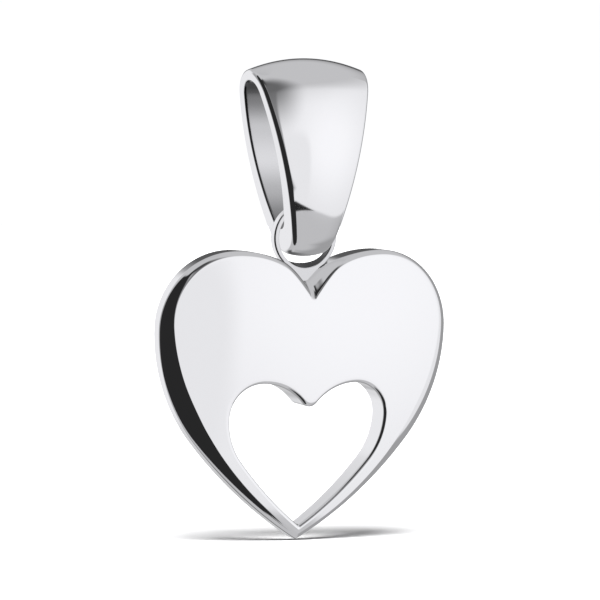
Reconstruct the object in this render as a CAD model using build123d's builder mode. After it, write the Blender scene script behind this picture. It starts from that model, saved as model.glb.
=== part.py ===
import os
from math import acos, atan2, cos, degrees, radians, sin, sqrt

from build123d import *

os.makedirs("parts", exist_ok=True)

# A heart pendant in two pieces: a bail that slides on a chain, and a domed heart whose loop hangs in it.
# Frame: the origin is the chain's seat at the top of the bail's tunnel. +X runs along the tunnel,
# -Y is the front and +Z is up. Lengths are in millimetres and angles in degrees.

# Heart plate: its outline, measured up from the tip
heart_width = 12.1
heart_height = 11.28
lobe_radius = 3.05
cleft_depth = 1.0
flank_radius = 6.9
flank_turn = 39.6

# Heart plate: thickness at the crown of the dome, and its two domed faces
plate_thickness = 1.35
front_dome_radius = 30.0
back_dish_radius = 80.0
dome_height = 7.4
shoulder_radius = 0.46

# Heart-shaped opening through the plate, with the plate's height above it and below it
opening_width = 6.56
opening_crest = 5.09
opening_base = 0.57
opening_lobe_radius = 1.33
opening_cleft_depth = 1.22
opening_flank_radius = 2.74
opening_flank_turn = 39.0

# Bail: the tunnel for the chain, an egg of four tangent arcs seen along X
tunnel_height = 5.65
tunnel_depth = 2.02
tunnel_top_radius = 0.7
tunnel_floor_radius = 0.45

# Bail: the walls on the ridge of the crowned band, and its end arcs as shares of the band's half depth
ridge_top_wall = 0.9
ridge_side_wall = 0.92
ridge_floor_wall = 1.1
top_arc_share = 0.87
floor_arc_share = 0.66

# Bail: width across the two inclined rims, and the crown's radius across the band at each place
bail_top_width = 4.63
bail_floor_width = 2.03
crown_top_radius = 6.2
crown_side_radius = 5.2
crown_floor_radius = 2.4
outer_rim_rounding = 0.13
inner_rim_rounding = 0.05

# Loop in the heart's cleft with its pointed foot, and how the heart hangs from it
loop_side_gap = 0.06
loop_floor_gap = 0.38
loop_wall = 0.2
loop_depth = 0.42
loop_setback = 0.3
foot_height = 0.36
foot_sink = 0.6
hang_tilt = 4.0


def heart_profile(width, height, base, lobe, cleft, flank, turn):
    """A heart of tangent arcs as a sketch, its tip on the Y axis at the base."""
    half = width / 2
    top = base + height
    widest = top - lobe
    lobe_top = (half - lobe, top)
    slope = radians(turn)
    flank_end = (half - flank + flank * cos(slope), widest - flank * sin(slope))
    with BuildSketch() as profile:
        with BuildLine():
            TangentArc(lobe_top, (0, top - cleft), tangent=(-1, 0))
            CenterArc((half - lobe, widest), lobe, 0, 90)
            CenterArc((half - flank, widest), flank, -turn, turn)
            TangentArc(flank_end, (0, base), tangent=(-sin(slope), -cos(slope)))
            mirror(about=Plane.YZ)
        make_face()
    return profile.sketch


def egg_profile(top, top_radius, floor, floor_radius, half_width):
    """An upright egg of four tangent arcs as a sketch, centred on the Y axis."""
    span = (top - top_radius) - (floor + floor_radius)
    to_top = half_width - top_radius
    to_floor = half_width - floor_radius
    # Both end circles touch a flank arc from inside, which gives a quadratic for the arc's level
    a = to_floor / to_top - 1
    b = 2 * span
    c = to_floor * (top_radius - floor_radius) - span**2
    rise = -c / b if abs(a) < 1e-9 else (-b + sqrt(b**2 - 4 * a * c)) / (2 * a)
    flank = (rise**2 / to_top + top_radius + half_width) / 2
    level = top - top_radius - rise
    inset = flank - half_width
    upper = degrees(atan2(rise, inset))
    lower = degrees(atan2(span - rise, inset))
    with BuildSketch() as profile:
        with BuildLine():
            CenterArc((0, top - top_radius), top_radius, upper, 180 - 2 * upper)
            CenterArc((inset, level), flank, 180 - upper, upper + lower)
            CenterArc((0, floor + floor_radius), floor_radius, 180 + lower, 180 - 2 * lower)
            CenterArc((-inset, level), flank, -lower, upper + lower)
        make_face()
    return profile.sketch


# The band narrows from its top to its floor between two inclined rims
floor = -tunnel_height
ridge_floor = floor - ridge_floor_wall
rim_slope = (bail_top_width - bail_floor_width) / 2 / tunnel_height
widest_half = bail_top_width / 2 + rim_slope * ridge_top_wall
narrowest_half = bail_floor_width / 2 - rim_slope * ridge_floor_wall

# The loop's hole is the circle that clears the floor's corners and passes under the ridge
floor_reach = bail_floor_width / 2 + loop_side_gap
floor_drop = ridge_floor_wall + loop_floor_gap
loop_hole_radius = (floor_reach**2 + floor_drop**2) / (2 * floor_drop)
loop_radius = loop_hole_radius + loop_wall
loop_drop = floor_drop - loop_hole_radius
loop_rise = heart_height - cleft_depth + foot_height + loop_hole_radius
foot_point = heart_height - cleft_depth - foot_sink

# The foot's two sides touch the loop's outer circle
foot_turn = acos(loop_radius / (loop_rise - foot_point))
foot_reach = loop_radius * sin(foot_turn)
foot_top = loop_rise - loop_radius * cos(foot_turn)

# The plate's plane faces the front and leans on the pivot, which lies on the tunnel's floor
tilt = radians(hang_tilt)
plate_up = Vector(0, -sin(tilt), cos(tilt))
plate_front = Vector(0, -cos(tilt), -sin(tilt))
pivot = Vector(0, 0, floor)
tip = pivot - plate_up * (loop_rise + loop_drop) - plate_front * (loop_setback + loop_depth / 2)
plate_plane = Plane(origin=tip, x_dir=(1, 0, 0), z_dir=plate_front)

dish_depth = back_dish_radius - sqrt(back_dish_radius**2 - dome_height**2)
dome_depth = dish_depth + plate_thickness
opening_height = heart_height - opening_crest - opening_base

with BuildPart() as heart:
    with BuildSketch(plate_plane):
        add(heart_profile(heart_width, heart_height, 0, lobe_radius, cleft_depth, flank_radius, flank_turn))
    extrude(amount=2 * dome_depth)
    with Locations(plate_plane * Pos(0, dome_height, dome_depth - front_dome_radius)):
        Sphere(front_dome_radius, mode=Mode.INTERSECT)
    with Locations(plate_plane * Pos(0, dome_height, dish_depth - back_dish_radius)):
        Sphere(back_dish_radius, mode=Mode.SUBTRACT)
    dome = heart.faces().filter_by(GeomType.SPHERE).sort_by(Axis.Y)[0]
    fillet(dome.outer_wire().edges(), shoulder_radius)
    with BuildSketch(plate_plane):
        add(
            heart_profile(
                opening_width,
                opening_height,
                opening_base,
                opening_lobe_radius,
                opening_cleft_depth,
                opening_flank_radius,
                opening_flank_turn,
            )
        )
    extrude(amount=2 * dome_depth, mode=Mode.SUBTRACT)
    with BuildSketch(plate_plane.offset(loop_setback)):
        with Locations((0, loop_rise)):
            Circle(loop_radius)
        with BuildLine():
            Polyline((-foot_reach, foot_top), (0, foot_point), (foot_reach, foot_top), close=True)
        make_face()
        with Locations((0, loop_rise)):
            Circle(loop_hole_radius, mode=Mode.SUBTRACT)
    extrude(amount=loop_depth)

heart.part.label = "heart"
export_step(heart.part, "parts/heart.step")

with BuildPart() as bail:
    for x in (-widest_half, 0, widest_half):
        half_depth = tunnel_depth / 2 + ridge_side_wall - x**2 / (2 * crown_side_radius)
        crown_top = ridge_top_wall - x**2 / (2 * crown_top_radius)
        crown_floor = ridge_floor + x**2 / (2 * crown_floor_radius)
        with BuildSketch(Plane.YZ.offset(x)):
            add(
                egg_profile(
                    crown_top, top_arc_share * half_depth, crown_floor, floor_arc_share * half_depth, half_depth
                )
            )
    loft()
    with BuildSketch(Plane.XZ):
        with BuildLine():
            Polyline(
                (-narrowest_half, ridge_floor),
                (narrowest_half, ridge_floor),
                (widest_half, ridge_top_wall),
                (-widest_half, ridge_top_wall),
                close=True,
            )
        make_face()
    extrude(amount=tunnel_depth + ridge_side_wall, both=True, mode=Mode.INTERSECT)
    rims = bail.faces().filter_by(GeomType.PLANE).group_by(Face.area)[-1]
    fillet([edge for rim in rims for edge in rim.outer_wire().edges()], outer_rim_rounding)
    with BuildSketch(Plane.YZ):
        add(egg_profile(0, tunnel_top_radius, floor, tunnel_floor_radius, tunnel_depth / 2))
    extrude(amount=widest_half, both=True, mode=Mode.SUBTRACT)
    rims = bail.faces().filter_by(GeomType.PLANE)
    fillet([edge for rim in rims for edge in rim.inner_wires()[0].edges()], inner_rim_rounding)

bail.part.label = "bail"
export_step(bail.part, "parts/bail.step")
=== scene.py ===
from math import acos, atan2, cos, pi, radians, sin, sqrt

import bmesh
import bpy
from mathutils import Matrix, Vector


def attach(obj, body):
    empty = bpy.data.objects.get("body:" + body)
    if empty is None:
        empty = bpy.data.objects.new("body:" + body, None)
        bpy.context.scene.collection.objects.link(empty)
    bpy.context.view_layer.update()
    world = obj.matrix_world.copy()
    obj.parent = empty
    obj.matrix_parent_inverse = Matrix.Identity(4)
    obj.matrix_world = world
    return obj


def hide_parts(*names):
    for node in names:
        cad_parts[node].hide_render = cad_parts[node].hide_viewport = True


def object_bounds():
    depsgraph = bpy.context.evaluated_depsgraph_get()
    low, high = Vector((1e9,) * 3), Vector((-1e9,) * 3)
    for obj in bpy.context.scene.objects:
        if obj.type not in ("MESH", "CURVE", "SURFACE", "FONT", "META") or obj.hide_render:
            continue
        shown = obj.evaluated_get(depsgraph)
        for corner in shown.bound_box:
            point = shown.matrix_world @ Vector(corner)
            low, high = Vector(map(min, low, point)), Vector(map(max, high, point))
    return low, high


# A polished silver heart pendant on its bail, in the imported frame: +X along the bail's tunnel, -Y the front
# and +Z up. The dictionaries hold millimetres and degrees, and the meshes are in metres.
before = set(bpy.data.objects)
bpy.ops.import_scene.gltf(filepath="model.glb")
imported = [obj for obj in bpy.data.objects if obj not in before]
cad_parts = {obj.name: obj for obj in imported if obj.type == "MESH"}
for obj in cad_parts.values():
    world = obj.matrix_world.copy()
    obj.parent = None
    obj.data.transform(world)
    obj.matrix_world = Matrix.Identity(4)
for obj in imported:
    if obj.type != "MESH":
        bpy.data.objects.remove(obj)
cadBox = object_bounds()
mm = 0.001
weld = 0.001  # points closer than this become one
print("frame loaded")


def growBand(name, rings):
    # A circle is laid on the first ring and extruded from ring to ring,
    # and the last ring is welded to the first
    bpy.ops.object.select_all(action="DESELECT")
    bpy.ops.mesh.primitive_circle_add(vertices=len(rings[0]), radius=mm)
    piece = bpy.context.object
    piece.name = name
    bpy.ops.object.mode_set(mode="EDIT")
    band = bmesh.from_edit_mesh(piece.data)
    band.verts.ensure_lookup_table()
    edge = [vert.index for vert in band.verts]
    for index, spot in zip(edge, rings[0]):
        band.verts[index].co = spot * mm
    for ring in rings[1:] + rings[:1]:
        bpy.ops.mesh.extrude_edges_move(TRANSFORM_OT_translate={"value": (0, 0, 0)})
        band = bmesh.from_edit_mesh(piece.data)
        band.verts.index_update()
        band.verts.ensure_lookup_table()
        # Each point's new one is the selected end of an edge that leaves it
        edge = [next(side.other_vert(band.verts[index]).index for side in band.verts[index].link_edges
                     if side.other_vert(band.verts[index]).select) for index in edge]
        for index, spot in zip(edge, ring):
            band.verts[index].co = spot * mm
        bmesh.update_edit_mesh(piece.data)
    bpy.ops.mesh.select_all(action="SELECT")
    bpy.ops.mesh.remove_doubles(threshold=weld * mm)
    bpy.ops.mesh.normals_make_consistent(inside=False)
    bpy.ops.object.mode_set(mode="OBJECT")
    print(name, "grown from", len(rings), "rings of", len(rings[0]))
    return piece


def applyModifier(piece, kind, **settings):
    bpy.ops.object.select_all(action="DESELECT")
    piece.select_set(True)
    bpy.context.view_layer.objects.active = piece
    modifier = piece.modifiers.new(kind.title(), kind)
    for key, value in settings.items():
        setattr(modifier, key, value)
    bpy.ops.object.modifier_apply(modifier=modifier.name)


def along(table, place):
    # A value between the table's stops, on a curve that passes smoothly through all of them
    slopes = [(high - low) / (end - start) for (start, low), (end, high) in zip(table, table[1:])]
    middles = [(before + after) / 2 for before, after in zip(slopes, slopes[1:])]
    turns = [slopes[0]] + middles + [slopes[-1]]
    for index, ((start, low), (end, high)) in enumerate(zip(table, table[1:])):
        if place <= end:
            reach = end - start
            share = (place - start) / reach
            blend = share * share * (3 - 2 * share)
            return (low + (high - low) * blend + turns[index] * reach * share * (1 - share) ** 2
                    - turns[index + 1] * reach * (1 - share) * share ** 2)
    return table[-1][1]


def quarter(steps):
    return [pi / 2 * step / steps for step in range(steps + 1)]


# Half a heart's outline from the cleft to the tip, arc by arc, with the number of steps on each
outlineSteps = {"cleftRound": 5, "cleft": 24, "lobe": 28, "flank": 24, "tip": 28, "tipRound": 5}
halfSteps = sum(outlineSteps.values())


def heartPoint(heart, step, inset):
    # A point of the right half of a heart of tangent arcs, moved inwards by the inset
    half = heart["width"] / 2
    top = heart["base"] + heart["height"]
    widest = top - heart["lobe"]
    turn = radians(heart["turn"])
    lobeX = half - heart["lobe"]
    cleftRadius = (lobeX ** 2 + heart["cleft"] ** 2) / (2 * heart["cleft"])
    flankX = half - heart["flank"]
    endX = flankX + heart["flank"] * cos(turn)
    endY = widest - heart["flank"] * sin(turn)
    # The tip's arc starts along the flank and passes through the tip
    toTipX = -endX
    toTipY = heart["base"] - endY
    tipRadius = -(toTipX ** 2 + toTipY ** 2) / (2 * (toTipX * cos(turn) - toTipY * sin(turn)))
    tipX = endX - tipRadius * cos(turn)
    tipY = endY + tipRadius * sin(turn)
    cleftY = top - cleftRadius
    # Small circles round the corners on the axis
    cleftRound = along(heart["cleftRound"], inset)
    tipRound = heart["tipRound"]
    notch = cleftY + sqrt((cleftRadius - inset + cleftRound) ** 2 - lobeX ** 2)
    notchAngle = atan2(notch - cleftY, -lobeX)
    foot = tipY - sqrt((tipRadius - inset - tipRound) ** 2 - tipX ** 2)
    footAngle = atan2(foot - tipY, -tipX)
    arcs = {
        "cleftRound": (0, notch, cleftRound, -pi / 2, notchAngle - pi),
        "cleft": (lobeX, cleftY, cleftRadius - inset, notchAngle, pi / 2),
        "lobe": (lobeX, widest, heart["lobe"] - inset, pi / 2, 0),
        "flank": (flankX, widest, heart["flank"] - inset, 0, -turn),
        "tip": (tipX, tipY, tipRadius - inset, -turn, footAngle),
        "tipRound": (0, foot, tipRound, footAngle, -pi / 2),
    }
    for name, steps in outlineSteps.items():
        if step <= steps:
            x, y, radius, start, end = arcs[name]
            angle = start + (end - start) * step / steps
            return x + radius * cos(angle), y + radius * sin(angle)
        step -= steps


def heartRing(pointAt):
    # Both halves of a ring round the heart, from the cleft down the right side and back up the left
    right = [pointAt(step) for step in range(halfSteps + 1)]
    left = [(-x, y, depth) for x, y, depth in right[-2:0:-1]]
    return right + left


heartPlate = {
    # The cleft's corner is rounded by how far inwards it lies
    "outline": {
        "width": 12.1, "height": 11.28, "base": 0, "lobe": 3.05, "cleft": 1.0, "flank": 6.9, "turn": 39.6,
        "cleftRound": [(0, 0.2), (0.35, 0.26), (0.68, 0.18)], "tipRound": 0.1,
    },
    "opening": {
        "width": 6.56, "height": 5.62, "base": 0.57, "lobe": 1.33, "cleft": 1.22, "flank": 2.74, "turn": 39.0,
        "cleftRound": [(0, 0.36), (1, 0.36)], "tipRound": 0.08,
    },
    "crown": 1.35,
    "frontDome": 30.0,
    "backDish": 80.0,
    "domeHeight": 7.4,
    # The shoulder by its place along the outline: 5 steps end the cleft's corner, 29 reach the lobe's top,
    # 57 the widest point, 81 the flank's end and 114 the tip
    "shoulderStarts": [(0, 0.2), (5, 0.19), (9, 0.09), (13, 0.02), (18, 0), (114, 0)],
    "shoulderWidths": [
        (0, 0.51), (5, 0.47), (9, 0.37), (13, 0.24), (18, 0.18), (29, 0.17), (38, 0.18),
        (48, 0.3), (57, 0.44), (66, 0.56), (76, 0.6), (87, 0.4), (100, 0.24), (114, 0.2),
    ],
    "shoulderFalls": [
        (0, 0.95), (5, 0.9), (13, 0.5), (20, 0.3), (29, 0.26), (38, 0.28),
        (57, 0.42), (81, 0.46), (100, 0.29), (114, 0.21),
    ],
    # How far the rounded shoulder goes over to a flat bevel with a crisp inner edge
    "shoulderBevels": [(0, 0.3), (57, 0.32), (81, 0.38), (114, 0.3)],
    "backRounding": 0.05,
    "openingRounding": 0.14,
    "shoulderSteps": 12,
    "lipSteps": 4,
    "backSteps": 3,
    "faceSteps": 14,
    "dishSteps": 8,
    # Rings that hold the surfaces flat beside their rounded edges, as shares of the way across
    "wallShares": (0.06, 0.5, 0.94),
    "faceMargin": 0.03,
    "tilt": 4.0,
    "tip": (0, 1.354, -17.705),
    "smoothAngle": 32,
}

dishDepth = heartPlate["backDish"] - sqrt(heartPlate["backDish"] ** 2 - heartPlate["domeHeight"] ** 2)
tilt = radians(heartPlate["tilt"])
plateUp = Vector((0, -sin(tilt), cos(tilt)))
plateFront = Vector((0, -cos(tilt), -sin(tilt)))
plateTip = Vector(heartPlate["tip"])


def sphereDepth(radius, apex, x, y):
    return apex - radius + sqrt(radius ** 2 - x ** 2 - (y - heartPlate["domeHeight"]) ** 2)


def frontDepth(x, y):
    return sphereDepth(heartPlate["frontDome"], dishDepth + heartPlate["crown"], x, y)


def backDepth(x, y):
    return sphereDepth(heartPlate["backDish"], dishDepth, x, y)


def onPlate(ring):
    return [plateTip + Vector((x, 0, 0)) + plateUp * y + plateFront * depth for x, y, depth in ring]


def plateRings():
    # From the back edge up the outer wall, over the shoulder and the domed face to the opening,
    # through it and back across the dish
    outline = heartPlate["outline"]
    opening = heartPlate["opening"]
    back = heartPlate["backRounding"]
    lip = heartPlate["openingRounding"]
    margin = heartPlate["faceMargin"]
    rings = []

    def ring(pointAt):
        rings.append(onPlate(heartRing(pointAt)))

    def shoulder(step, angle):
        start = along(heartPlate["shoulderStarts"], step)
        width = along(heartPlate["shoulderWidths"], step)
        x, y = heartPoint(outline, step, start + width * (1 - cos(angle)))
        fall = along(heartPlate["shoulderFalls"], step)
        bevel = along(heartPlate["shoulderBevels"], step)
        drop = (1 - bevel) * (1 - sin(angle)) + bevel * cos(angle)
        return x, y, frontDepth(x, y) - fall * drop

    def backEdge(step, angle):
        x, y = heartPoint(outline, step, back * (1 - cos(angle)))
        return x, y, backDepth(x, y) + back * (1 - sin(angle))

    def wall(step, share):
        return [low + (high - low) * share for low, high in zip(backEdge(step, 0), shoulder(step, 0))]

    def lipFront(step, angle):
        x, y = heartPoint(opening, step, -lip * (1 - cos(angle)))
        return x, y, frontDepth(x, y) - lip * (1 - sin(angle))

    def lipBack(step, angle):
        x, y = heartPoint(opening, step, -back * (1 - cos(angle)))
        return x, y, backDepth(x, y) + back * (1 - sin(angle))

    def openingWall(step, share):
        x, y, high = lipFront(step, 0)
        return x, y, high + (lipBack(step, 0)[2] - high) * share

    def across(near, far, share, depthAt):
        x = near[0] + (far[0] - near[0]) * share
        y = near[1] + (far[1] - near[1]) * share
        return x, y, depthAt(x, y)

    def acrossShares(steps):
        return [margin] + [index / steps for index in range(1, steps)] + [1 - margin]

    for angle in reversed(quarter(heartPlate["backSteps"])):
        ring(lambda step: backEdge(step, angle))
    for share in heartPlate["wallShares"]:
        ring(lambda step: wall(step, share))
    for angle in quarter(heartPlate["shoulderSteps"]):
        ring(lambda step: shoulder(step, angle))
    for share in acrossShares(heartPlate["faceSteps"]):
        ring(lambda step: across(shoulder(step, pi / 2), lipFront(step, pi / 2), share, frontDepth))
    for angle in reversed(quarter(heartPlate["lipSteps"])):
        ring(lambda step: lipFront(step, angle))
    for share in heartPlate["wallShares"]:
        ring(lambda step: openingWall(step, share))
    for angle in quarter(heartPlate["backSteps"]):
        ring(lambda step: lipBack(step, angle))
    for share in acrossShares(heartPlate["dishSteps"]):
        ring(lambda step: across(lipBack(step, pi / 2), backEdge(step, pi / 2), share, backDepth))
    return rings


loop = {
    "holeRadius": 1.13,
    "wall": 0.2,
    "depth": 0.42,
    "setback": 0.3,
    "rise": 11.77,
    "footDrop": 2.09,
    "outerRounding": 0.07,
    "innerRounding": 0.04,
    # The bore opens to the front at its bottom and its rear edge is lifted there, fading out to the sides
    "flare": 0.18,
    "lift": 0.12,
    "flareAngle": 60,
    "steps": 144,
    "outerSteps": 6,
    "innerSteps": 3,
    "outerShares": (0.1, 0.5, 0.9),
    "innerShares": (0.95, 0.5, 0.05),
    "margin": 0.01,
}


def loopRings():
    outer = loop["holeRadius"] + loop["wall"]
    footTurn = acos(outer / loop["footDrop"])
    rings = []

    def outerReach(angle, inset):
        # The foot's two straight sides meet the circle where they touch it
        past = footTurn - abs(angle)
        return (outer - inset) / cos(past) if past > 0 else outer - inset

    def innerReach(angle, inset, depth):
        flare = loop["flare"] * depth / loop["depth"] - loop["lift"]
        turn = min(abs(angle) / radians(loop["flareAngle"]), 1) * pi / 2
        return loop["holeRadius"] + inset + flare * cos(turn) ** 2

    def ring(reachAt, depth):
        points = []
        for step in range(loop["steps"]):
            angle = 2 * pi * step / loop["steps"] - pi
            reach = reachAt(angle)
            points.append((reach * sin(angle), loop["rise"] - reach * cos(angle), loop["setback"] + depth))
        rings.append(onPlate(points))

    def outerRing(inset, depth):
        ring(lambda angle: outerReach(angle, inset), depth)

    def innerRing(inset, depth):
        ring(lambda angle: innerReach(angle, inset, depth), depth)

    edge = loop["outerRounding"]
    bore = loop["innerRounding"]
    depth = loop["depth"]
    margin = loop["margin"]
    for share in loop["outerShares"]:
        outerRing(0, edge + (depth - 2 * edge) * share)
    for angle in quarter(loop["outerSteps"]):
        outerRing(edge * (1 - cos(angle)), depth - edge * (1 - sin(angle)))
    outerRing(edge + margin, depth)
    innerRing(bore + margin, depth)
    for angle in reversed(quarter(loop["innerSteps"])):
        innerRing(bore * (1 - cos(angle)), depth - bore * (1 - sin(angle)))
    for share in loop["innerShares"]:
        innerRing(0, bore + (depth - 2 * bore) * share)
    for angle in quarter(loop["innerSteps"]):
        innerRing(bore * (1 - cos(angle)), bore * (1 - sin(angle)))
    innerRing(bore + margin, 0)
    outerRing(edge + margin, 0)
    for angle in reversed(quarter(loop["outerSteps"])):
        outerRing(edge * (1 - cos(angle)), edge * (1 - sin(angle)))
    return rings


heartPiece = growBand("domedHeart", plateRings())
applyModifier(heartPiece, "SUBSURF", levels=1, render_levels=1)
loopPiece = growBand("heartLoop", loopRings())
applyModifier(heartPiece, "BOOLEAN", object=loopPiece, operation="UNION", solver="EXACT")
bpy.data.objects.remove(loopPiece)
bpy.ops.object.shade_smooth_by_angle(angle=radians(heartPlate["smoothAngle"]))
heartPiece.visible_glossy = False  # heart and bail don't mirror each other
print("heart and loop joined:", len(heartPiece.data.polygons), "faces")


bailSizes = {
    "tunnel": {"top": 0, "topRadius": 0.7, "floor": -5.65, "floorRadius": 0.45, "halfDepth": 1.01},
    "topWall": 0.9,
    "sideWall": 0.92,
    "floorWall": 1.1,
    "topShare": 0.87,
    "floorShare": 0.66,
    "topWidth": 4.63,
    "floorWidth": 2.03,
    "topCrown": 6.2,
    "sideCrown": 5.2,
    "floorCrown": 2.4,
    "outerRounding": 0.14,
    "innerRounding": 0.1,
    "crownSteps": 26,
    "eggSteps": (22, 32, 14),
    "outerSteps": 7,
    "innerSteps": 4,
    "rimShares": (0.06, 0.94),
    "boreShares": (0.97, 0.6, 0.2, -0.2, -0.6, -0.97),
    "rimRounds": 12,
}


def eggPoint(egg, step):
    # A point of the rear half of an egg of four tangent arcs, counted from its top
    span = (egg["top"] - egg["topRadius"]) - (egg["floor"] + egg["floorRadius"])
    toTop = egg["halfDepth"] - egg["topRadius"]
    toFloor = egg["halfDepth"] - egg["floorRadius"]
    # Both end circles touch a flank arc from inside, which gives a quadratic for the arc's level
    a = toFloor / toTop - 1
    b = 2 * span
    c = toFloor * (egg["topRadius"] - egg["floorRadius"]) - span ** 2
    rise = -c / b if abs(a) < 1e-9 else (-b + sqrt(b * b - 4 * a * c)) / (2 * a)
    flank = (rise * rise / toTop + egg["topRadius"] + egg["halfDepth"]) / 2
    level = egg["top"] - egg["topRadius"] - rise
    inset = flank - egg["halfDepth"]
    upper = atan2(rise, inset)
    lower = atan2(span - rise, inset)
    arcs = [
        (0, egg["top"] - egg["topRadius"], egg["topRadius"], pi / 2, upper),
        (-inset, level, flank, upper, -lower),
        (0, egg["floor"] + egg["floorRadius"], egg["floorRadius"], -lower, -pi / 2),
    ]
    for (y, z, radius, start, end), steps in zip(arcs, bailSizes["eggSteps"]):
        if step <= steps:
            angle = start + (end - start) * step / steps
            return y + radius * cos(angle), z + radius * sin(angle)
        step -= steps


def bandEgg(x):
    # The band's outer egg at a distance from its ridge
    tunnel = bailSizes["tunnel"]
    halfDepth = tunnel["halfDepth"] + bailSizes["sideWall"] - x * x / (2 * bailSizes["sideCrown"])
    return {
        "top": bailSizes["topWall"] - x * x / (2 * bailSizes["topCrown"]),
        "topRadius": bailSizes["topShare"] * halfDepth,
        "floor": tunnel["floor"] - bailSizes["floorWall"] + x * x / (2 * bailSizes["floorCrown"]),
        "floorRadius": bailSizes["floorShare"] * halfDepth,
        "halfDepth": halfDepth,
    }


def halfWidth(z):
    slope = (bailSizes["topWidth"] - bailSizes["floorWidth"]) / 2 / -bailSizes["tunnel"]["floor"]
    return bailSizes["topWidth"] / 2 + slope * z


def bandPoint(step, share):
    # A point of the crowned band, at a share of the way from its ridge to its inclined rim.
    # Its width and its height depend on each other, so they are found in turn.
    y, z = eggPoint(bandEgg(0), step)
    for _ in range(bailSizes["rimRounds"]):
        x = share * halfWidth(z)
        y, z = eggPoint(bandEgg(x), step)
    return Vector((x, y, z))


def bailRings():
    # Over the crown from rim to rim, and back through the tunnel
    outer = bailSizes["outerRounding"]
    inner = bailSizes["innerRounding"]
    crownSteps = bailSizes["crownSteps"]
    rear = range(sum(bailSizes["eggSteps"]) + 1)
    rings = []

    def ring(points):
        front = [Vector((point.x, -point.y, point.z)) for point in points[-2:0:-1]]
        rings.append(points + front)

    edges = [bandPoint(step, 1) for step in rear]
    starts = [bandPoint(step, 1 - outer / edge.x) for step, edge in zip(rear, edges)]
    bores = []
    for step in rear:
        y, z = eggPoint(bailSizes["tunnel"], step)
        bores.append(Vector((halfWidth(z), y, z)))
    inwards = [(bore - edge).normalized() for bore, edge in zip(bores, edges)]

    def flip(point, side):
        return Vector((point.x * side, point.y, point.z))

    def outerArc(angle, side):
        ring([flip(edge + (start - edge) * (1 - sin(angle)) + inward * outer * (1 - cos(angle)), side)
              for edge, start, inward in zip(edges, starts, inwards)])

    def innerArc(angle, side):
        ring([flip(bore + Vector((-inner * (1 - sin(angle)), 0, 0)) - inward * inner * (1 - cos(angle)), side)
              for bore, inward in zip(bores, inwards)])

    def rim(share, side):
        ring([flip(edge + inward * outer + (bore - edge - inward * (outer + inner)) * share, side)
              for edge, bore, inward in zip(edges, bores, inwards)])

    for index in range(crownSteps):
        share = 2 * (index + 0.5) / crownSteps - 1
        ring([bandPoint(step, share * (1 - outer / edge.x)) for step, edge in zip(rear, edges)])
    for angle in quarter(bailSizes["outerSteps"]):
        outerArc(angle, 1)
    for share in bailSizes["rimShares"]:
        rim(share, 1)
    for angle in reversed(quarter(bailSizes["innerSteps"])):
        innerArc(angle, 1)
    for share in bailSizes["boreShares"]:
        ring([Vector(((bore.x - inner) * share, bore.y, bore.z)) for bore in bores])
    for angle in quarter(bailSizes["innerSteps"]):
        innerArc(angle, -1)
    for share in reversed(bailSizes["rimShares"]):
        rim(share, -1)
    for angle in reversed(quarter(bailSizes["outerSteps"])):
        outerArc(angle, -1)
    return rings


bailPiece = growBand("crownedBail", bailRings())
applyModifier(bailPiece, "SUBSURF", levels=1, render_levels=1)
bpy.ops.object.shade_smooth()
bailPiece.visible_glossy = False
print("bail finished:", len(bailPiece.data.polygons), "faces")


def wire(tree, source, target):
    tree.links.new(source, target)


silverFinish = {
    "colour": (0.93, 0.93, 0.945, 1),
    "roughness": (0.035, 0.06),
    "hazeScale": 900,
    "hazeDetail": 3,
    "waveScale": 260,
    "waveDetail": 1,
    "waveDepth": 0.02,
    "waveHeight": 0.1,
}
# Inside the tunnel and the loop the silver is rougher, and painted shade darkens it: greys by height, counted
# from the chain's seat
tunnelShadeAndFinish = {
    "roughness": 0.2,
    "shadeGreys": [(-5.4, 0.3), (-4.2, 0.5), (-3.0, 0.72), (-1.8, 0.6), (-0.7, 0.25), (-0.2, 0.12)],
    "blue": 1.02,
}
# The loop's bore is painted nearly black, a painted shadow of the bail
boreShadowAndFinish = {
    "roughness": 0.15,
    "shadeGreys": [(-7.0, 0.07), (-5.4, 0.12)],
    "blue": 1.02,
}
# The loop's flat front is a little rougher than the dome, and painted shade makes it a darker grey
loopShadeAndFinish = {
    "roughness": 0.12,
    "shadeGreys": [(-8.0, 0.7), (-4.5, 0.76)],
    "blue": 1.02,
}


def makeSilver():
    # A fine haze changes the roughness, and a faint wave the normal
    silver = bpy.data.materials.new("polishedSilver")
    silver.use_nodes = True
    tree = silver.node_tree
    shader = tree.nodes["Principled BSDF"]
    shader.inputs["Base Color"].default_value = silverFinish["colour"]
    shader.inputs["Metallic"].default_value = 1
    place = tree.nodes.new("ShaderNodeTexCoord")
    haze = tree.nodes.new("ShaderNodeTexNoise")
    haze.inputs["Scale"].default_value = silverFinish["hazeScale"]
    haze.inputs["Detail"].default_value = silverFinish["hazeDetail"]
    wire(tree, place.outputs["Object"], haze.inputs["Vector"])
    spread = tree.nodes.new("ShaderNodeMapRange")
    spread.inputs["To Min"].default_value = silverFinish["roughness"][0]
    spread.inputs["To Max"].default_value = silverFinish["roughness"][1]
    wire(tree, haze.outputs["Fac"], spread.inputs["Value"])
    wire(tree, spread.outputs["Result"], shader.inputs["Roughness"])
    wave = tree.nodes.new("ShaderNodeTexNoise")
    wave.inputs["Scale"].default_value = silverFinish["waveScale"]
    wave.inputs["Detail"].default_value = silverFinish["waveDetail"]
    wire(tree, place.outputs["Object"], wave.inputs["Vector"])
    bump = tree.nodes.new("ShaderNodeBump")
    bump.inputs["Strength"].default_value = silverFinish["waveDepth"]
    bump.inputs["Distance"].default_value = silverFinish["waveHeight"] * mm
    wire(tree, wave.outputs["Fac"], bump.inputs["Height"])
    wire(tree, bump.outputs["Normal"], shader.inputs["Normal"])
    return silver


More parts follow.
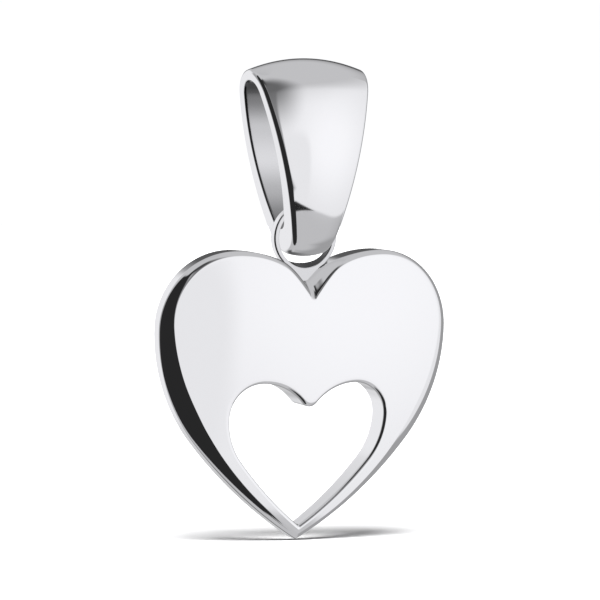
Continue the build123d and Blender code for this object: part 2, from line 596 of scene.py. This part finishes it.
def shadedDullSilver(polished, name, shadeAndFinish):
    # The polished silver again with one roughness, and painted shade as greys that change with height
    silver = polished.copy()
    silver.name = name
    tree = silver.node_tree
    shader = tree.nodes["Principled BSDF"]
    place = tree.nodes.new("ShaderNodeTexCoord")
    parts = tree.nodes.new("ShaderNodeSeparateXYZ")
    wire(tree, place.outputs["Object"], parts.inputs[0])
    height = tree.nodes.new("ShaderNodeMapRange")
    low = shadeAndFinish["shadeGreys"][0][0]
    high = shadeAndFinish["shadeGreys"][-1][0]
    height.inputs["From Min"].default_value = low * mm
    height.inputs["From Max"].default_value = high * mm
    wire(tree, parts.outputs["Z"], height.inputs["Value"])
    ramp = tree.nodes.new("ShaderNodeValToRGB")
    ramp.color_ramp.interpolation = "EASE"
    stops = ramp.color_ramp.elements
    for level, _ in shadeAndFinish["shadeGreys"][1:-1]:
        stops.new((level - low) / (high - low))
    for stop, (_, grey) in zip(stops, shadeAndFinish["shadeGreys"]):
        stop.color = (grey, grey, grey * shadeAndFinish["blue"], 1)
    wire(tree, height.outputs["Result"], ramp.inputs["Fac"])
    wire(tree, ramp.outputs["Color"], shader.inputs["Base Color"])
    for link in shader.inputs["Roughness"].links:
        tree.links.remove(link)
    shader.inputs["Roughness"].default_value = shadeAndFinish["roughness"]
    return silver


def layInside(piece, silver, chosen):
    # The chosen faces of a piece take another silver
    piece.data.materials.append(silver)
    slot = len(piece.data.materials) - 1
    for face in piece.data.polygons:
        if chosen(face):
            face.material_index = slot


# How squarely a face has to look at the middle, or to the front, to take a rougher silver with painted shade,
# and how far off it may lie
insides = {
    "tunnelFacing": 0.5,
    "boreFacing": 0.7,
    "boreMargin": 0.05,
    "frontFacing": 0.9,
    "frontMargin": 0.02,
}
tunnelMiddle = bailSizes["tunnel"]["floor"] / 2 * mm
loopMiddle = (plateTip + plateUp * loop["rise"] + plateFront * (loop["setback"] + loop["depth"] / 2)) * mm


def inTunnel(face):
    inwards = Vector((0, -face.center.y, tunnelMiddle - face.center.z)).normalized()
    return face.normal.dot(inwards) > insides["tunnelFacing"]


def inBore(face):
    inwards = loopMiddle - face.center
    reach = (loop["holeRadius"] + loop["flare"] + insides["boreMargin"]) * mm
    return inwards.length < reach and face.normal.dot(inwards.normalized()) > insides["boreFacing"]


def onLoopFront(face):
    depth = (face.center / mm - plateTip).dot(plateFront)
    away = abs(depth - loop["setback"] - loop["depth"])
    return face.normal.dot(plateFront) > insides["frontFacing"] and away < insides["frontMargin"]


polishedSilver = makeSilver()
for piece, body, node in ((heartPiece, "heart", "heart"), (bailPiece, "bail", "bail")):
    piece.data.materials.clear()
    piece.data.materials.append(polishedSilver)
    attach(piece, body)
    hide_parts(node)
# The tunnel, the loop's bore and the loop's front take rougher silvers darkened with painted shade
layInside(bailPiece, shadedDullSilver(polishedSilver, "tunnelSilverPaintedShade", tunnelShadeAndFinish), inTunnel)
layInside(heartPiece, shadedDullSilver(polishedSilver, "boreSilverPaintedShadow", boreShadowAndFinish), inBore)
layInside(heartPiece, shadedDullSilver(polishedSilver, "loopSilverPaintedShade", loopShadeAndFinish), onLoopFront)
print("silver laid on")


floorSizes = {
    "radius": 600,
    "sides": 96,
    "gap": 0.05,
    "colour": (0.95, 0.95, 0.955, 1),
    "roughness": 0.9,
    "gloss": 0.1,
    "grainScale": 400,
    "grainDepth": 0.15,
    "grainHeight": 0.05,
}


def makePaper():
    paper = bpy.data.materials.new("palePaper")
    paper.use_nodes = True
    tree = paper.node_tree
    shader = tree.nodes["Principled BSDF"]
    shader.inputs["Base Color"].default_value = floorSizes["colour"]
    shader.inputs["Roughness"].default_value = floorSizes["roughness"]
    shader.inputs["Specular IOR Level"].default_value = floorSizes["gloss"]
    place = tree.nodes.new("ShaderNodeTexCoord")
    grain = tree.nodes.new("ShaderNodeTexNoise")
    grain.inputs["Scale"].default_value = floorSizes["grainScale"]
    wire(tree, place.outputs["Object"], grain.inputs["Vector"])
    bump = tree.nodes.new("ShaderNodeBump")
    bump.inputs["Strength"].default_value = floorSizes["grainDepth"]
    bump.inputs["Distance"].default_value = floorSizes["grainHeight"] * mm
    wire(tree, grain.outputs["Fac"], bump.inputs["Height"])
    wire(tree, bump.outputs["Normal"], shader.inputs["Normal"])
    return paper


def layFloor():
    bpy.ops.object.select_all(action="DESELECT")
    level = cadBox[0].z - floorSizes["gap"] * mm
    bpy.ops.mesh.primitive_circle_add(vertices=floorSizes["sides"], radius=floorSizes["radius"] * mm,
                                      fill_type="NGON", location=(0, 0, level))
    floor = bpy.context.object
    floor.name = "paleFloor"
    bpy.ops.object.transform_apply(location=True)
    floor.data.materials.append(makePaper())
    floor.visible_glossy = False


layFloor()
print("floor laid")


# Cards of the studio round the pendant, later ones in front, which only reflections see. Azimuth 0 is the
# front and grows to the left, and a card's taper narrows it above and below its centre.
studio = {
    "colour": (0.985, 0.985, 1, 1),
    "ground": 0.34,  # where no card lies
    "backdrop": 1.03,  # what the camera sees
    "dome": 0.1,  # what lights the floor beside the lamp
    "squareCorner": 20,
    "cards": [
        {"name": "table", "azimuth": 0, "elevation": -90, "width": 400, "height": 130,
         "soft": 0.06, "light": 0.54},
        {"name": "rightTable", "azimuth": -110, "elevation": -42, "width": 90, "height": 44,
         "soft": 0.4, "light": 0.36},
        {"name": "rearTable", "azimuth": 180, "elevation": -34, "width": 56, "height": 32,
         "soft": 0.4, "light": 0.1},
        {"name": "leftRear", "azimuth": 165, "elevation": 3, "width": 50, "height": 60,
         "soft": 0.3, "light": 0.88},
        {"name": "leftTable", "azimuth": 138, "elevation": -40, "width": 40, "height": 40,
         "soft": 0.3, "light": 0.52},
        {"name": "softboxSide", "azimuth": -72, "elevation": 10, "width": 48, "height": 74,
         "corner": 6, "soft": 0.04, "light": 0.84},
        {"name": "softbox", "azimuth": -30, "elevation": 6, "width": 80, "height": 78,
         "corner": 3.5, "soft": 0.025, "light": 0.85},
        {"name": "glow", "azimuth": -32, "elevation": 1, "width": 56, "height": 46,
         "corner": 2, "soft": 0.8, "light": 1.01},
        {"name": "veil", "azimuth": -1, "elevation": -13, "width": 22, "height": 40,
         "corner": 4, "soft": 0.2, "light": 0.86},
        {"name": "ceiling", "azimuth": 0, "elevation": 90, "width": 400, "height": 112,
         "soft": 0.25, "light": 0.57},
        {"name": "shade", "azimuth": 17, "elevation": 43, "width": 46, "height": 52,
         "corner": 2, "soft": 0.58, "light": 0.14},
        {"name": "shadeHigh", "azimuth": 44, "elevation": 60, "width": 50, "height": 28,
         "corner": 2, "soft": 0.5, "light": 0.06},
        {"name": "wedge", "azimuth": 1, "elevation": -33, "width": 46, "height": 6,
         "corner": 0.8, "soft": 0.2, "light": 0.02},
        {"name": "black", "azimuth": 66, "elevation": -23, "width": 126, "height": 180,
         "taper": 0.7, "soft": 0.05, "light": 0.022},
        {"name": "blackLow", "azimuth": 62, "elevation": -56, "width": 121, "height": 50,
         "soft": 0.03, "light": 0.022},
        {"name": "blackUp", "azimuth": 92, "elevation": 19, "width": 52, "height": 68,
         "corner": 6, "soft": 0.06, "light": 0.022},
        {"name": "rearLight", "azimuth": -158, "elevation": -6, "width": 44, "height": 28,
         "soft": 0.3, "light": 0.6},
        {"name": "rearDark", "azimuth": -158, "elevation": 16, "width": 44, "height": 20,
         "soft": 0.3, "light": 0.1},
    ],
}


def mathNode(tree, operation, *inputs):
    node = tree.nodes.new("ShaderNodeMath")
    node.operation = operation
    for socket, value in zip(node.inputs, inputs):
        if isinstance(value, (int, float)):
            socket.default_value = value
        else:
            wire(tree, value, socket)
    return node.outputs[0]


def cardMask(tree, azimuth, elevation, card):
    # One inside the card, falling softly to nought over its edge.
    # The corner's power rounds the card, and 2 makes it an ellipse.
    aside = mathNode(tree, "SUBTRACT", azimuth, radians(card["azimuth"]))
    aside = mathNode(tree, "ABSOLUTE", mathNode(tree, "WRAP", aside, pi, -pi))
    above = mathNode(tree, "ABSOLUTE", mathNode(tree, "SUBTRACT", elevation, radians(card["elevation"])))
    aside = mathNode(tree, "MULTIPLY_ADD", above, card.get("taper", 0), aside)
    corner = card.get("corner", studio["squareCorner"])
    reach = 0
    for away, size in ((aside, card["width"]), (above, card["height"])):
        share = mathNode(tree, "DIVIDE", away, radians(size / 2))
        reach = mathNode(tree, "ADD", mathNode(tree, "POWER", share, corner), reach)
    fade = tree.nodes.new("ShaderNodeMapRange")
    fade.interpolation_type = "SMOOTHSTEP"
    wire(tree, mathNode(tree, "POWER", reach, 1 / corner), fade.inputs["Value"])
    fade.inputs["From Min"].default_value = 1 - card["soft"]
    fade.inputs["From Max"].default_value = 1 + card["soft"]
    fade.inputs["To Min"].default_value = 1
    fade.inputs["To Max"].default_value = 0
    return fade.outputs["Result"]


def lightStudio():
    world = bpy.data.worlds.new("silverStudio")
    bpy.context.scene.world = world
    world.use_nodes = True
    tree = world.node_tree
    background = tree.nodes["Background"]
    direction = tree.nodes.new("ShaderNodeTexCoord")
    parts = tree.nodes.new("ShaderNodeSeparateXYZ")
    wire(tree, direction.outputs["Generated"], parts.inputs[0])
    azimuth = mathNode(tree, "ARCTAN2", mathNode(tree, "MULTIPLY", parts.outputs["X"], -1),
                       mathNode(tree, "MULTIPLY", parts.outputs["Y"], -1))
    elevation = mathNode(tree, "ARCSINE", parts.outputs["Z"])
    level = None
    for card in studio["cards"]:
        mix = tree.nodes.new("ShaderNodeMix")
        mix.label = card["name"]
        wire(tree, cardMask(tree, azimuth, elevation, card), mix.inputs["Factor"])
        if level is None:
            mix.inputs["A"].default_value = studio["ground"]
        else:
            wire(tree, level, mix.inputs["A"])
        mix.inputs["B"].default_value = card["light"]
        level = mix.outputs["Result"]
    # The floor and the camera see an even light instead of the cards
    rays = tree.nodes.new("ShaderNodeLightPath")
    for kind, light in (("Is Diffuse Ray", studio["dome"]), ("Is Camera Ray", studio["backdrop"])):
        pick = tree.nodes.new("ShaderNodeMix")
        wire(tree, rays.outputs[kind], pick.inputs["Factor"])
        wire(tree, level, pick.inputs["A"])
        pick.inputs["B"].default_value = light
        level = pick.outputs["Result"]
    wire(tree, level, background.inputs["Strength"])
    background.inputs["Color"].default_value = studio["colour"]


lightStudio()


# A soft lamp high in front of the pendant lays its shadow on the floor behind it
lampSizes = {"azimuth": 22, "elevation": 58, "spread": 38, "strength": 6.8}


def hangLamp():
    bpy.ops.object.select_all(action="DESELECT")
    bpy.ops.object.light_add(type="SUN")
    lamp = bpy.context.object
    lamp.name = "softLamp"
    lamp.data.energy = lampSizes["strength"]
    lamp.data.angle = radians(lampSizes["spread"])
    azimuth = radians(lampSizes["azimuth"])
    elevation = radians(lampSizes["elevation"])
    towards = Vector((-sin(azimuth) * cos(elevation), -cos(azimuth) * cos(elevation), sin(elevation)))
    lamp.rotation_euler = towards.to_track_quat("Z", "Y").to_euler()
    lamp.visible_glossy = False


hangLamp()


# The camera's azimuth grows to the right
shot = {
    "azimuth": -25,
    "elevation": 1.8,
    "lens": 400,
    "sensor": 36,
    "pixelsPerMm": 25.9,
    "imageWidth": 600,
    "originPixel": (303.9, 81.5),  # where the frame's origin lies in the image
    "clip": (10, 10000),
}


def placeCamera():
    camera = bpy.data.objects.new("camera", bpy.data.cameras.new("camera"))
    bpy.context.scene.collection.objects.link(camera)
    bpy.context.scene.camera = camera
    camera.data.lens = shot["lens"]
    camera.data.sensor_width = shot["sensor"]
    camera.data.clip_start = shot["clip"][0] * mm
    camera.data.clip_end = shot["clip"][1] * mm
    azimuth = radians(shot["azimuth"])
    elevation = radians(shot["elevation"])
    backwards = Vector((sin(azimuth) * cos(elevation), -cos(azimuth) * cos(elevation), sin(elevation)))
    camera.rotation_euler = backwards.to_track_quat("Z", "Y").to_euler()
    sideways = Vector((cos(azimuth), sin(azimuth), 0))
    upwards = backwards.cross(sideways)
    span = shot["imageWidth"] / shot["pixelsPerMm"]
    middle = shot["imageWidth"] / 2
    aside = (middle - shot["originPixel"][0]) / shot["pixelsPerMm"]
    down = (middle - shot["originPixel"][1]) / shot["pixelsPerMm"]
    target = sideways * aside - upwards * down
    camera.location = (target + backwards * span * shot["lens"] / shot["sensor"]) * mm


placeCamera()
bpy.context.scene.view_settings.view_transform = "Standard"
print("camera and studio set")
